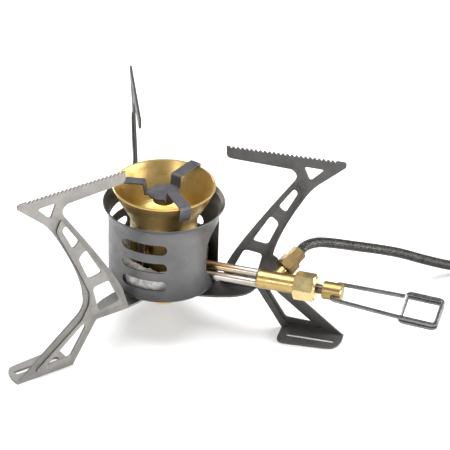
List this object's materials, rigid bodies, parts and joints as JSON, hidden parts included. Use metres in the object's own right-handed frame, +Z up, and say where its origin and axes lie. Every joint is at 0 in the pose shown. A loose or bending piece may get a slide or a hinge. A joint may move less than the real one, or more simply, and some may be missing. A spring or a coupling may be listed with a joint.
{
  "type": "canister stove",
  "caption": "Remote canister camping stove: brass bell burner in a slotted steel cup, folding toothed legs, wire-handled valve and braided hose with screw-on canister connector.",
  "frame": {"origin": "on the ground under the burner, on the upright axis the legs turn about", "axes": "+Z up; the valve arm points 15.9 degrees clockwise from +X, the front of the cup faces -Y"},
  "size_m": [0.3172, 0.1726, 0.1092],
  "materials": {
    "leg_steel": "bead-blasted satin",
    "cup_steel": "dull satin",
    "spreader_steel": "scuffed, heat darkened",
    "bell_brass": "brushed",
    "burner_brass": "turned, dull",
    "valve_brass": "turned",
    "nut_brass": "bright turned",
    "tube_steel": "polished with heat tint",
    "wire_steel": "polished wire",
    "spindle_steel": "dark",
    "pad_fibre": "matte fibre",
    "braid": "braided wire",
    "grip_aluminium": "anodised",
    "seal_rubber": "matte"
  },
  "bodies": {
    "stove": {"windscreen_cup": "cup_steel", "priming_pad": "pad_fibre", "burner_base": "burner_brass", "jet": "nut_brass", "mixing_tube": "burner_brass", "burner_bell": "bell_brass", "pillar_left": "burner_brass", "pillar_right": "burner_brass", "flame_spreader": "spreader_steel", "spreader_cap": "spreader_steel", "spring_washer": "leg_steel", "bottom_nut": "nut_brass", "leg_right": "leg_steel", "vapour_tube": "tube_steel", "feed_tube": "tube_steel", "valve_body": "valve_brass", "gland_nut": "nut_brass", "gland_packing": "seal_rubber", "inlet_nut": "valve_brass", "hose_ferrule": "valve_brass", "hose": "braid", "end_ferrule": "valve_brass", "plug_body": "valve_brass", "plug_pin": "nut_brass", "plug_seal": "seal_rubber"},
    "left_leg": {"leg_left": "leg_steel"},
    "back_leg": {"leg_back": "leg_steel"},
    "valve": {"spindle": "spindle_steel", "spindle_collar": "nut_brass"},
    "handle": {"handle_wire": "wire_steel"},
    "grip": {"plug_ring": "grip_aluminium"}
  },
  "joints": [
    {"name": "left_leg_fold", "type": "hinge", "parent": "stove", "child": "left_leg", "pos_m": [0, 0, 0.0243], "axis": [0, 0, 1], "range_deg": [0, 85]},
    {"name": "back_leg_fold", "type": "hinge", "parent": "stove", "child": "back_leg", "pos_m": [0, 0, 0.0256], "axis": [0, 0, 1], "range_deg": [-76, 0]},
    {"name": "valve_turn", "type": "hinge", "parent": "stove", "child": "valve", "pos_m": [0.07694, -0.02192, 0.0375], "axis": [0.9617, -0.274, 0], "range_deg": [0, 540]},
    {"name": "handle_fold", "type": "hinge", "parent": "valve", "child": "handle", "pos_m": [0.09271, -0.02641, 0.0375], "axis": [0.2719, 0.9546, 0.1219], "range_deg": [-60, 60]},
    {"name": "grip_turn", "type": "hinge", "parent": "stove", "child": "grip", "pos_m": [0.225, -0.064, 0.0115], "axis": [0, -1, 0], "continuous": true}
  ]
}
